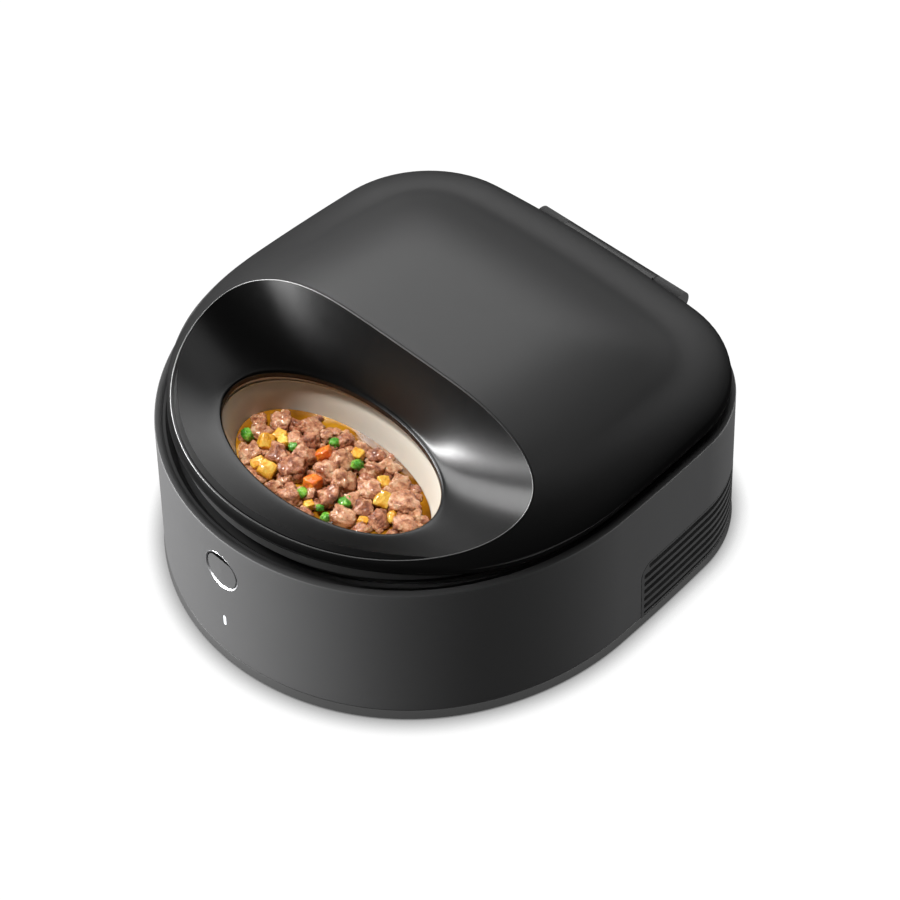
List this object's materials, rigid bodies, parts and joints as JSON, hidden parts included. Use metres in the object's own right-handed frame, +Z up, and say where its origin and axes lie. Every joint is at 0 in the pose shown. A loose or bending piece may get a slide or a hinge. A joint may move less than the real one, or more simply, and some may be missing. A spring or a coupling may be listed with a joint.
{
  "type": "automatic wet food feeder",
  "caption": "Low drum-shaped chilled wet food feeder with domed lid, deep oval dish opening over a turning tray, front button and lamp, side vents and rear hinge",
  "frame": {"origin": "middle of the overall box, on the floor plane under the feet", "axes": "+Z up, -Y the front with the button, +Y the hinge side, +X the right side with the vent panel seen in the picture"},
  "size_m": [0.3068, 0.3286, 0.148],
  "materials": {
    "base_pan": "fine matte moulding, charcoal",
    "outer_housing": "fine matte moulding, charcoal",
    "top_deck": "matte black moulding",
    "inner_tub": "smooth grey moulding",
    "tub_insulation": "rigid foam, open grain",
    "vent_panel_right": "fine matte moulding, charcoal",
    "vent_panel_left": "fine matte moulding, charcoal",
    "button_ring": "polished ring",
    "power_button": "fine matte, charcoal",
    "button_switch": "small black switch body",
    "front_board": "green circuit board",
    "status_lens": "white light guide",
    "control_board": "green circuit board with parts",
    "dc_inlet": "black socket",
    "rubber_feet": "soft dark rubber",
    "base_screws": "zinc-plated cross-head screws",
    "hinge_end_knuckles": "fine matte moulding, charcoal",
    "hinge_pin": "ground steel pin",
    "lid_hinge_knuckle": "fine matte moulding, charcoal",
    "lid_shell": "fine matte moulding, charcoal",
    "lid_dish": "deep gloss black",
    "dish_trim": "semi-gloss dark edge",
    "lid_liner": "smooth grey inner moulding",
    "lid_gasket": "soft dark seal",
    "shutter_bridge": "plain grey moulding",
    "shutter_axle": "turned steel axle",
    "shutter_disc": "smooth pale moulding",
    "shutter_gear": "natural white gear plastic",
    "shutter_pinion": "natural white gear plastic",
    "shutter_motor": "pressed steel can",
    "food_tray": "smooth cream moulding",
    "bowl_front": "smooth cream moulding, semi-gloss",
    "bowl_right": "smooth cream moulding, semi-gloss",
    "bowl_left": "smooth cream moulding, semi-gloss",
    "wet_food": "wet meat chunks in gravy with vegetables",
    "turntable": "smooth grey moulding",
    "turntable_bush": "white bearing plastic",
    "turntable_gear": "natural white gear plastic",
    "tray_spindle": "turned steel spindle",
    "motor_pinion": "brass pinion",
    "tray_motor": "pressed steel can",
    "cold_sink": "extruded fins, plain",
    "cooler_module": "white ceramic plates",
    "hot_sink": "extruded fins, plain",
    "hot_fan_frame": "matte black",
    "hot_fan_wheel": "matte black",
    "cold_fan_frame": "matte black",
    "cold_fan_wheel": "matte black"
  },
  "bodies": {
    "body": {"base_pan": "base_pan", "outer_housing": "outer_housing", "top_deck": "top_deck", "inner_tub": "inner_tub", "tub_insulation": "tub_insulation", "vent_panel_right": "vent_panel_right", "vent_panel_left": "vent_panel_left", "button_ring": "button_ring", "button_switch": "button_switch", "front_board": "front_board", "status_lens": "status_lens", "control_board": "control_board", "dc_inlet": "dc_inlet", "rubber_feet": "rubber_feet", "base_screws": "base_screws", "hinge_end_knuckles": "hinge_end_knuckles", "hinge_pin": "hinge_pin", "tray_spindle": "tray_spindle", "tray_motor": "tray_motor", "cold_sink": "cold_sink", "cooler_module": "cooler_module", "hot_sink": "hot_sink", "hot_fan_frame": "hot_fan_frame", "cold_fan_frame": "cold_fan_frame"},
    "lid": {"lid_shell": "lid_shell", "lid_dish": "lid_dish", "dish_trim": "dish_trim", "lid_liner": "lid_liner", "lid_gasket": "lid_gasket", "lid_hinge_knuckle": "lid_hinge_knuckle", "shutter_bridge": "shutter_bridge", "shutter_axle": "shutter_axle", "shutter_motor": "shutter_motor"},
    "shutter": {"shutter_disc": "shutter_disc", "shutter_gear": "shutter_gear"},
    "shutter_drive": {"shutter_pinion": "shutter_pinion"},
    "tray": {"food_tray": "food_tray", "bowl_front": "bowl_front", "bowl_right": "bowl_right", "bowl_left": "bowl_left", "wet_food": "wet_food", "turntable": "turntable", "turntable_bush": "turntable_bush", "turntable_gear": "turntable_gear"},
    "tray_drive": {"motor_pinion": "motor_pinion"},
    "hot_fan": {"hot_fan_wheel": "hot_fan_wheel"},
    "cold_fan": {"cold_fan_wheel": "cold_fan_wheel"},
    "button": {"power_button": "power_button"}
  },
  "joints": [
    {"name": "lid_hinge", "type": "hinge", "parent": "body", "child": "lid", "pos_m": [0, 0.15655, 0.097], "axis": [-1, 0, 0], "range_deg": [0, 85]},
    {"name": "button_press", "type": "slide", "parent": "body", "child": "button", "axis": [0, 1, 0], "range_m": [0, 0.0008], "stiffness_N_per_m": 900},
    {"name": "tray_turn", "type": "hinge", "parent": "body", "child": "tray", "pos_m": [0, -0.00665, 0.0665], "axis": [0, 0, 1], "continuous": true},
    {"name": "tray_drive_turn", "type": "hinge", "parent": "body", "child": "tray_drive", "pos_m": [-0.03535, 0.02871, 0.057], "axis": [0, 0, 1], "continuous": true},
    {"name": "shutter_turn", "type": "hinge", "parent": "lid", "child": "shutter", "pos_m": [0, -0.00665, 0.1017], "axis": [0, 0, 1], "range_deg": [0, 120]},
    {"name": "shutter_drive_turn", "type": "hinge", "parent": "lid", "child": "shutter_drive", "pos_m": [0, 0.01735, 0.105], "axis": [0, 0, 1], "range_deg": [-365, 5]},
    {"name": "hot_fan_turn", "type": "hinge", "parent": "body", "child": "hot_fan", "pos_m": [0.066, 0.04535, 0.0145], "axis": [0, 0, 1], "continuous": true},
    {"name": "cold_fan_turn", "type": "hinge", "parent": "body", "child": "cold_fan", "pos_m": [0.012, 0.08335, 0.0576], "axis": [0, 0, 1], "continuous": true}
  ],
  "couplings": [
    {"joint": "tray_drive_turn", "follows": "tray_turn", "ratio": -4},
    {"joint": "shutter_drive_turn", "follows": "shutter_turn", "ratio": -3}
  ]
}
